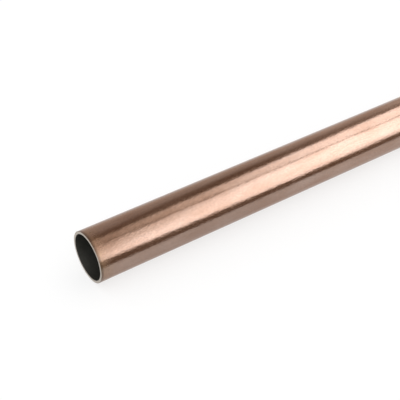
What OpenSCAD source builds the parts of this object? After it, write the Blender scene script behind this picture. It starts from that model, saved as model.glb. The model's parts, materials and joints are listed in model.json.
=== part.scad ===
// Round brass tube, drawn in one piece without a seam, sawn square at both ends and deburred.
// It lies along X on the plane Z = 0, with the origin under the middle of its length.
// All sizes are in millimetres.

/* [Tube] */
// Outside diameter
outer_d = 18; // [8:0.5:42]
// Wall thickness, the same all round
wall = 1; // [0.5:0.1:2.5]
// Length that the stock is cut to
length = 300; // [50:1:1000]

/* [Cut ends] */
// Width of the 45 degree deburr on each end's outside edge
outer_deburr = 0.1; // [0.05:0.01:0.2]
// Width of the 45 degree deburr on each end's bore edge
bore_deburr = 0.1; // [0.05:0.01:0.2]

/* [Hidden] */

outer_r = outer_d / 2;
bore_r = outer_r - wall;
half_length = length / 2;

// Segments round the tube, fine enough for a smooth rim
$fn = 128;

// The wall cut lengthwise, as radius and distance along the axis from the middle.
// Both edges of each end are broken by their deburr, and a flat ring is left between them.
module wall_section() {
    outer_edge = half_length - outer_deburr;
    bore_edge = half_length - bore_deburr;
    ring_outer_r = outer_r - outer_deburr;
    ring_bore_r = bore_r + bore_deburr;
    polygon([
        [outer_r, -outer_edge],
        [outer_r, outer_edge],
        [ring_outer_r, half_length],
        [ring_bore_r, half_length],
        [bore_r, bore_edge],
        [bore_r, -bore_edge],
        [ring_bore_r, -half_length],
        [ring_outer_r, -half_length],
    ]);
}

// The whole tube: its section turned once round the axis, laid down on the plane it rests on
module tube() {
    color("#A08575")
        translate([0, 0, outer_r])
            rotate([0, 90, 0])
                rotate_extrude()
                    wall_section();
}

tube();
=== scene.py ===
import json
import math

import bpy
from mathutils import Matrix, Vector


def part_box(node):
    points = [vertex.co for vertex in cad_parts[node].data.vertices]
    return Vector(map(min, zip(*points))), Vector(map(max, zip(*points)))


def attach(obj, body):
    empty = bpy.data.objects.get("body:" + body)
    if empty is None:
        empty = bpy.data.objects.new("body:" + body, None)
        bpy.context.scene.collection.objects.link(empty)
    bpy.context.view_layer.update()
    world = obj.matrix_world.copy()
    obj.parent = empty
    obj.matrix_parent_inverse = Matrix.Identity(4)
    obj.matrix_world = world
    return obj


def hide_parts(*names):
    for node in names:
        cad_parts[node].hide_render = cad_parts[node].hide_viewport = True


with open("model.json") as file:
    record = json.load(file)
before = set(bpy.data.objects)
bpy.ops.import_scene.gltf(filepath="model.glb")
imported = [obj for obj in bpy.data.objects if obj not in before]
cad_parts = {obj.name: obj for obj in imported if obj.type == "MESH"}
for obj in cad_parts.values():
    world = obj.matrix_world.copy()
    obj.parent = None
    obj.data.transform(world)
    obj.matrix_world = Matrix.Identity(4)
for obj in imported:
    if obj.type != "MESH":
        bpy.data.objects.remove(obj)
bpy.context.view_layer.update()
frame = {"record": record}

# The tube
# One length of brass tube, drawn through a die over a mandrel without a seam, sawn square and deburred by hand.
# Its outside is bronzed to a copper brown and lacquered, its bore keeps the black scale of the last annealing,
# and its sawn rings have gone dull.
mounts = {mount["name"]: mount for mount in frame["record"]["mounts"]}
outer_radius = mounts["outside"]["dims"]["r_mm"] / 1000
bore_radius = mounts["bore"]["dims"]["r_mm"] / 1000
tube_low, tube_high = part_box("tube")
tube_length = tube_high[0] - tube_low[0]
half_length = tube_length / 2
deburr = (tube_length - mounts["outside"]["dims"]["length_mm"] / 1000) / 2
ROUND_STEPS = 192
LENGTH_STEPS = 60
DEBURR_STEPS = 4
OUTSIDE, BORE, CUT = 0, 1, 2


def linear(hex_colour):
    """An sRGB colour such as "#a08575" as Blender's linear red, green, blue and alpha."""
    channels = [int(hex_colour[i : i + 2], 16) / 255 for i in (1, 3, 5)]
    return tuple(c / 12.92 if c <= 0.04045 else ((c + 0.055) / 1.055) ** 2.4 for c in channels) + (1.0,)


def add_node(tree, kind, settings=None, sockets=None):
    """Adds a node, sets its properties, and sets each input, by name or number, to a value or links it to an output."""
    node = tree.nodes.new(kind)
    for name, value in (settings or {}).items():
        setattr(node, name, value)
    for name, value in (sockets or {}).items():
        if isinstance(value, bpy.types.NodeSocket):
            tree.links.new(value, node.inputs[name])
        else:
            node.inputs[name].default_value = value
    return node


def new_material(name):
    """An empty material with its node tree and output node."""
    material = bpy.data.materials.new(name)
    material.use_nodes = True
    tree = material.node_tree
    tree.nodes.clear()
    return material, tree, add_node(tree, "ShaderNodeOutputMaterial")


def bronzed_drawn_brass():
    """Brass under a copper-brown bronzing, satin polished and lacquered. The eye gets long reflections with ragged
    edges in a rose brown, a paler gloss over them from the lacquer, and duller metal at the sawn ends, where painted
    shade darkens the outer third of each half and draws a thin dark line behind each ring."""
    material, tree, output = new_material("bronzed_drawn_brass")
    place = add_node(tree, "ShaderNodeTexCoord").outputs["Object"]
    drawn = add_node(tree, "ShaderNodeMapping", sockets={"Vector": place, "Scale": (0.25, 1.0, 1.0)})
    far_drawn = add_node(tree, "ShaderNodeMapping", sockets={"Vector": place, "Scale": (0.02, 1.0, 1.0)})

    # How near a spot is to a sawn end: painted shade darkens the outer third of each half, the last 5 mm are duller,
    # and painted shade draws a thin dark line behind the ring
    along = add_node(tree, "ShaderNodeSeparateXYZ", sockets={"Vector": place})
    from_middle = add_node(tree, "ShaderNodeMath", {"operation": "ABSOLUTE"}, {0: along.outputs["X"]})
    # Painted shade: from 50 mm out from the middle the bronzing fades 14 per cent darker towards each end
    painted_end_shade = add_node(tree, "ShaderNodeMapRange",
                         sockets={"Value": from_middle.outputs["Value"], "From Min": half_length - 0.1,
                                  "From Max": half_length - 0.05, "To Min": 1.0, "To Max": 0.86})
    near_end = add_node(tree, "ShaderNodeMapRange",
                        sockets={"Value": from_middle.outputs["Value"], "From Min": half_length - 5e-3,
                                 "From Max": half_length, "To Min": 0.0, "To Max": 1.0})
    # Painted shade: a thin dark line in the last millimetre before each sawn ring, halving the colour
    painted_rim_shade = add_node(tree, "ShaderNodeMapRange",
                         sockets={"Value": from_middle.outputs["Value"], "From Min": half_length - 1.0e-3,
                                  "From Max": half_length - 0.4e-3, "To Min": 1.0, "To Max": 0.5})

    # Clouds in the bronzing, 4 mm across and four times as long
    cloud_size = 4e-3
    clouds = add_node(tree, "ShaderNodeTexNoise",
                      sockets={"Vector": drawn.outputs["Vector"], "Scale": 1 / cloud_size, "Detail": 4.0})
    cloud_share = add_node(tree, "ShaderNodeMapRange",
                           sockets={"Value": clouds.outputs["Fac"], "From Min": 0.3, "From Max": 0.7})
    bronze = add_node(tree, "ShaderNodeMix", {"data_type": "RGBA"},
                      {"Factor": cloud_share.outputs["Result"], "A": linear("#9a7c6b"), "B": linear("#a78e80")})

    # Grain in the bronzing, a third of a millimetre; a finer one wouldn't show
    grain_size = 0.33e-3
    grain = add_node(tree, "ShaderNodeTexNoise", sockets={"Vector": place, "Scale": 1 / grain_size, "Detail": 2.0})
    grain_shade = add_node(tree, "ShaderNodeMapRange",
                           sockets={"Value": grain.outputs["Fac"], "From Min": 0.25, "From Max": 0.75,
                                    "To Min": 0.8, "To Max": 1.2})
    # The two painted shades at the ends, and the grain, darken the bronzing's colour
    ends = add_node(tree, "ShaderNodeMath", {"operation": "MULTIPLY"},
                    {0: painted_rim_shade.outputs["Result"], 1: painted_end_shade.outputs["Result"]})
    shade = add_node(tree, "ShaderNodeMath", {"operation": "MULTIPLY"},
                     {0: grain_shade.outputs["Result"], 1: ends.outputs["Value"]})
    toned = add_node(tree, "ShaderNodeMix", {"data_type": "RGBA", "blend_type": "MULTIPLY"},
                     {"Factor": 1.0, "A": bronze.outputs["Result"], "B": shade.outputs["Value"]})

    # Heat tint from the saw, a little gold in some of the clouds
    tinted = add_node(tree, "ShaderNodeMath", {"operation": "MULTIPLY"},
                      {0: near_end.outputs["Result"], 1: cloud_share.outputs["Result"]})
    colour = add_node(tree, "ShaderNodeMix", {"data_type": "RGBA", "blend_type": "MULTIPLY"},
                      {"Factor": tinted.outputs["Value"], "A": toned.outputs["Result"], "B": linear("#f4f0d0")})

    # Draw lines in the gloss, a third of a millimetre apart, and the duller ends
    line_spacing = 0.33e-3
    lines = add_node(tree, "ShaderNodeTexNoise",
                     sockets={"Vector": far_drawn.outputs["Vector"], "Scale": 1 / line_spacing, "Detail": 2.0})
    gloss = add_node(tree, "ShaderNodeMapRange",
                     sockets={"Value": lines.outputs["Fac"], "From Min": 0.3, "From Max": 0.7,
                              "To Min": 0.16, "To Max": 0.22})
    roughness = add_node(tree, "ShaderNodeMath", {"operation": "MULTIPLY_ADD"},
                         {0: near_end.outputs["Result"], 1: 0.16, 2: gloss.outputs["Result"]})

    # Waves left by the die, half a millimetre across and a few thousandths deep
    wave_width = 0.55e-3
    waves = add_node(tree, "ShaderNodeTexNoise",
                     sockets={"Vector": drawn.outputs["Vector"], "Scale": 1 / wave_width, "Detail": 1.5,
                              "Roughness": 0.8})
    wavy = add_node(tree, "ShaderNodeBump",
                    sockets={"Height": waves.outputs["Fac"], "Distance": 45e-6, "Strength": 1.0})

    shader = add_node(tree, "ShaderNodeBsdfPrincipled",
                      sockets={"Base Color": colour.outputs["Result"], "Metallic": 1.0,
                               "Specular Tint": linear("#c8b4a8"), "Roughness": roughness.outputs["Value"],
                               "Coat Weight": 0.7, "Coat Roughness": 0.1, "Normal": wavy.outputs["Normal"]})
    tree.links.new(shader.outputs["BSDF"], output.inputs["Surface"])
    return material


def annealing_scale():
    """The black oxide that the last annealing leaves in the bore. The eye gets a near-black with a dull sheen, and
    painted light at the mouth, where the scale turns lighter grey in patches within 12 mm of each end."""
    material, tree, output = new_material("annealing_scale")
    place = add_node(tree, "ShaderNodeTexCoord").outputs["Object"]
    along = add_node(tree, "ShaderNodeSeparateXYZ", sockets={"Vector": place})
    from_middle = add_node(tree, "ShaderNodeMath", {"operation": "ABSOLUTE"}, {0: along.outputs["X"]})
    # Painted light: the scale is lighter in patches within 12 mm of each mouth, where the outside light reaches in
    painted_mouth_light = add_node(tree, "ShaderNodeMapRange",
                      sockets={"Value": from_middle.outputs["Value"], "From Min": half_length - 0.012,
                               "From Max": half_length, "To Min": 0.0, "To Max": 1.0})
    patch_size = 3e-3
    patches = add_node(tree, "ShaderNodeTexNoise",
                       sockets={"Vector": place, "Scale": 1 / patch_size, "Detail": 4.0})
    share = add_node(tree, "ShaderNodeMath", {"operation": "MULTIPLY"},
                     {0: patches.outputs["Fac"], 1: painted_mouth_light.outputs["Result"]})
    colour = add_node(tree, "ShaderNodeMix", {"data_type": "RGBA"},
                      {"Factor": share.outputs["Value"], "A": linear("#100f0b"), "B": linear("#36362e")})
    shader = add_node(tree, "ShaderNodeBsdfPrincipled",
                      sockets={"Base Color": colour.outputs["Result"], "Metallic": 0.0, "Roughness": 0.5})
    tree.links.new(shader.outputs["BSDF"], output.inputs["Surface"])
    return material


def dull_sawn_brass():
    """Sawn brass that has gone dull in the air. The eye gets a thin grey line with a breath of warmth."""
    material, tree, output = new_material("dull_sawn_brass")
    shader = add_node(tree, "ShaderNodeBsdfPrincipled",
                      sockets={"Base Color": linear("#afa69c"), "Metallic": 1.0, "Roughness": 0.4})
    tree.links.new(shader.outputs["BSDF"], output.inputs["Surface"])
    return material


def select_edges(piece, wanted):
    """In edit mode, selects the edges whose two vertex places satisfy wanted, and nothing else."""
    bpy.ops.mesh.select_all(action="DESELECT")
    bpy.ops.object.mode_set(mode="OBJECT")
    vertices = piece.data.vertices
    for edge in piece.data.edges:
        edge.select = wanted(vertices[edge.vertices[0]].co, vertices[edge.vertices[1]].co)
    bpy.ops.object.mode_set(mode="EDIT")


# The outside is one ring of edges drawn out along the axis, as the tube was
bpy.ops.object.select_all(action="DESELECT")
bpy.ops.mesh.primitive_circle_add(vertices=ROUND_STEPS, radius=outer_radius, fill_type="NOTHING",
                                  location=(-half_length, 0, outer_radius), rotation=(0, math.pi / 2, 0))
tube = bpy.context.object
tube.name = "drawn_tube"
tube.data.name = "drawn_tube"
bpy.ops.object.transform_apply(location=True, rotation=True, scale=True)
bpy.ops.object.mode_set(mode="EDIT")
bpy.ops.mesh.select_mode(type="EDGE")
bpy.ops.mesh.select_all(action="SELECT")
for step in range(LENGTH_STEPS):
    bpy.ops.mesh.extrude_region_move(TRANSFORM_OT_translate={"value": (tube_length / LENGTH_STEPS, 0, 0)})
bpy.ops.mesh.select_all(action="SELECT")
bpy.ops.mesh.normals_make_consistent(inside=False)
bpy.ops.object.mode_set(mode="OBJECT")

for material in (bronzed_drawn_brass(), annealing_scale(), dull_sawn_brass()):
    tube.data.materials.append(material)

# The wall goes inwards from the outside, with its own finish in the bore and on the cut rings
wall = tube.modifiers.new("wall", "SOLIDIFY")
wall.thickness = outer_radius - bore_radius
wall.offset = -1
wall.use_even_offset = True
wall.material_offset = BORE
wall.material_offset_rim = CUT
bpy.ops.object.modifier_apply(modifier=wall.name)


def round_a_cut_end(radius):
    """Makes a test for the edges that run round the tube at a sawn end, at that radius."""
    def wanted(a, b):
        at_end = min(abs(a.x), abs(b.x)) > half_length - 1e-5
        off = [abs(math.hypot(spot.y, spot.z - outer_radius) - radius) for spot in (a, b)]
        return at_end and max(off) < 1e-5
    return wanted


# Both edges of each sawn ring are broken by the deburring tool. The bronzing covers the outer one and the scale the other
bpy.ops.object.mode_set(mode="EDIT")
for radius, finish in ((outer_radius, OUTSIDE), (bore_radius, BORE)):
    select_edges(tube, round_a_cut_end(radius))
    bpy.ops.mesh.bevel(offset=deburr, segments=DEBURR_STEPS, profile=0.5, affect="EDGES", material=finish)
bpy.ops.object.mode_set(mode="OBJECT")
bpy.ops.object.shade_smooth()
even_normals = tube.modifiers.new("even_normals", "WEIGHTED_NORMAL")
even_normals.keep_sharp = True
bpy.ops.object.modifier_apply(modifier=even_normals.name)
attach(tube, "root")
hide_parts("tube")

# The floor
# A wide sheet of white paper, which runs out of sight behind the tube and keeps its shadow.
FLOOR_SIZE = 12.0


def white_paper():
    """Plain white paper. Seen by the camera and in the tube's gloss it is white with a light shadow."""
    material, tree, output = new_material("white_paper")
    path = add_node(tree, "ShaderNodeLightPath").outputs
    seen = path["Is Camera Ray"]
    for kind in ("Is Glossy Ray", "Is Transmission Ray"):
        seen = add_node(tree, "ShaderNodeMath", {"operation": "MAXIMUM"}, {0: seen, 1: path[kind]}).outputs["Value"]
    plain = add_node(tree, "ShaderNodeBsdfDiffuse", sockets={"Color": linear("#e6e6e6")})
    shaded = add_node(tree, "ShaderNodeBsdfDiffuse", sockets={"Color": linear("#969696")})
    glow = add_node(tree, "ShaderNodeEmission", sockets={"Strength": 0.72})
    white = add_node(tree, "ShaderNodeAddShader", sockets={0: shaded.outputs["BSDF"], 1: glow.outputs["Emission"]})
    mix = add_node(tree, "ShaderNodeMixShader",
                   sockets={"Fac": seen, 1: plain.outputs["BSDF"], 2: white.outputs["Shader"]})
    tree.links.new(mix.outputs["Shader"], output.inputs["Surface"])
    return material


bpy.ops.object.select_all(action="DESELECT")
bpy.ops.mesh.primitive_plane_add(size=FLOOR_SIZE)
floor = bpy.context.object
floor.name = "floor"
floor.data.materials.append(white_paper())

# The studio light
# The world lights matt surfaces evenly. The metal's gloss sees curved cards, placed by their angle round the tube from
# level in front, up and over: a diffuser in front and one overhead, dim and warm at their inner ends, a dark ceiling,
# a wall behind that fades upwards and is lit at its outer end, a dark cloth in front and a grey wall at each end.
MIDDLE_X = 0.05
CARD_LENGTH = 1.2
CARD_STEPS = 24
DARK = Vector((0.26, 0.175, 0.12))
WARM = Vector((1.2, 1.0, 0.8))
WHITE = Vector((1.0, 1.0, 1.0))
END_GREY = Vector((0.5, 0.48, 0.46))


def smooth_rise(value, low, high):
    """0 up to low, 1 from high on, and a smooth rise between them."""
    share = min(max((value - low) / (high - low), 0.0), 1.0)
    return share * share * (3 - 2 * share)


def front_glow(x, angle):
    """The front diffuser's light at a distance from the middle: bright at its outer end and low down."""
    slanted = x + 0.0045 * (62 - angle)
    level = 0.25 + 2.8 * smooth_rise(slanted, 0.0, 0.45)
    lower_edge = max(1.0, 11.5 - 27 * x)
    level *= smooth_rise(angle, lower_edge - 2, lower_edge + 2)
    level *= 1 - 0.5 * smooth_rise(x, 0.40, 0.60) * (1 - smooth_rise(angle, 0, 26))
    return DARK + level * WARM.lerp(WHITE, min(level / 1.9, 1.0))


def overhead_glow(x, angle):
    """The overhead diffuser's light, which grows outwards."""
    level = min(0.25 + 1.5 * x + 1.5 * smooth_rise(x, 0.14, 0.52), 2.7)
    return DARK + level * WARM.lerp(WHITE, min(level / 1.9, 1.0))


def wall_glow(x, angle):
    """The wall behind the tube, from the dark of the ceiling down to the white of the floor, lit at its outer end."""
    top = 110 + 18 * smooth_rise(x, 0.15, 0.32)
    level = 0.38 * smooth_rise(angle, top, top + 22) + 0.28 * smooth_rise(angle, 145, 175)
    level += 0.15 * smooth_rise(x, 0.42, 0.60) * smooth_rise(angle, 112, 122) * (1 - smooth_rise(angle, 122, 145))
    level += 1.6 * smooth_rise(x, 0.76, 0.86) * smooth_rise(angle, 128, 134) * (1 - smooth_rise(angle, 158, 164))
    return DARK + level * WHITE


def ceiling_glow(x, angle):
    """The unlit ceiling."""
    return DARK


def lit_cloth():
    """Cloth that glows as brightly as its own colour attribute says."""
    material, tree, output = new_material("lit_cloth")
    glow = add_node(tree, "ShaderNodeAttribute", {"attribute_name": "glow"})
    light = add_node(tree, "ShaderNodeEmission", sockets={"Color": glow.outputs["Color"]})
    tree.links.new(light.outputs["Emission"], output.inputs["Surface"])
    return material


cloth = lit_cloth()


def show_only_in_gloss(card):
    """Gives a card the glowing cloth and hides it from the camera, from matt surfaces and from shadows."""
    card.data.materials.append(cloth)
    card.visible_camera = False
    card.visible_diffuse = False
    card.visible_shadow = False


def add_card(name, side, lower_edge, upper_edge, distance, glow):
    """A curved card on one side of the middle. Each edge is its angle at the middle and at the outer end."""
    bpy.ops.object.select_all(action="DESELECT")
    bpy.ops.mesh.primitive_grid_add(x_subdivisions=CARD_STEPS, y_subdivisions=CARD_STEPS, size=1)
    card = bpy.context.object
    card.name = name
    colours = card.data.color_attributes.new("glow", "FLOAT_COLOR", "POINT")
    for vertex in card.data.vertices:
        along = vertex.co.x + 0.5
        up = vertex.co.y + 0.5
        low = lower_edge[0] + along * (lower_edge[1] - lower_edge[0])
        high = upper_edge[0] + along * (upper_edge[1] - upper_edge[0])
        angle = low + up * (high - low)
        x = along * CARD_LENGTH
        turn = math.radians(angle)
        vertex.co = (MIDDLE_X + side * x, -distance * math.cos(turn), outer_radius + distance * math.sin(turn))
        colours.data[vertex.index].color = (*glow(x, angle), 1.0)
    show_only_in_gloss(card)


def add_plain_card(name, size, place, turn, tone):
    """A flat square card of one tone."""
    bpy.ops.object.select_all(action="DESELECT")
    bpy.ops.mesh.primitive_plane_add(size=size, location=place, rotation=turn)
    card = bpy.context.object
    card.name = name
    for spot in card.data.color_attributes.new("glow", "FLOAT_COLOR", "POINT").data:
        spot.color = (*tone, 1.0)
    show_only_in_gloss(card)


for side, word in ((1, "right"), (-1, "left")):
    add_card(f"front_diffuser_{word}", side, (0, 0), (70, 72), 0.90, front_glow)
    add_card(f"overhead_diffuser_{word}", side, (75, 75), (93, 139), 0.92, overhead_glow)
    add_card(f"ceiling_{word}", side, (60, 60), (140, 140), 1.00, ceiling_glow)
    add_card(f"back_wall_{word}", side, (110, 110), (179, 179), 0.98, wall_glow)
    end_place = (MIDDLE_X + side * (CARD_LENGTH + 0.02), 0, 1.0)
    add_plain_card(f"end_wall_{word}", 2.0, end_place, (0, math.pi / 2, 0), END_GREY)

# The dark cloth lies in front of the tube, from where the white sheet stops showing in its gloss
CLOTH_FROM_AXIS = 0.032
CLOTH_SIZE = 3.0
CLOTH_LIFT = 0.0005
add_plain_card("dark_cloth", CLOTH_SIZE, (0, -CLOTH_FROM_AXIS - CLOTH_SIZE / 2, CLOTH_LIFT), (0, 0, 0), DARK)

# The world is plain white
world = bpy.data.worlds.new("studio")
bpy.context.scene.world = world
world.use_nodes = True
sky = world.node_tree
sky.nodes.clear()
background = add_node(sky, "ShaderNodeBackground", sockets={"Color": (1.0, 1.0, 1.0, 1.0), "Strength": 1.0})
add_node(sky, "ShaderNodeOutputWorld", sockets={"Surface": background.outputs["Background"]})

# The camera
# It looks down on the tube's near mouth, as the photo's does. Its place, in millimetres from the mouth's centre, its
# turn, tilt and lens come from the tube's two outlines and the mouth's ellipses.
CAMERA_FROM_MOUTH = (-97.93, -206.69, 205.02)
CAMERA_TURN = 34.38
CAMERA_TILT = 38.78
LENS = 85.84
mouth = Vector((-half_length, 0, outer_radius))
camera_place = mouth + Vector(CAMERA_FROM_MOUTH) / 1000
bpy.ops.object.camera_add(location=camera_place,
                          rotation=(math.radians(90 - CAMERA_TILT), 0, math.radians(-CAMERA_TURN)))
camera = bpy.context.object
camera.data.sensor_width = 36
camera.data.lens = LENS
camera.data.clip_start = 0.01
bpy.context.scene.camera = camera
bpy.context.scene.view_settings.view_transform = "Standard"
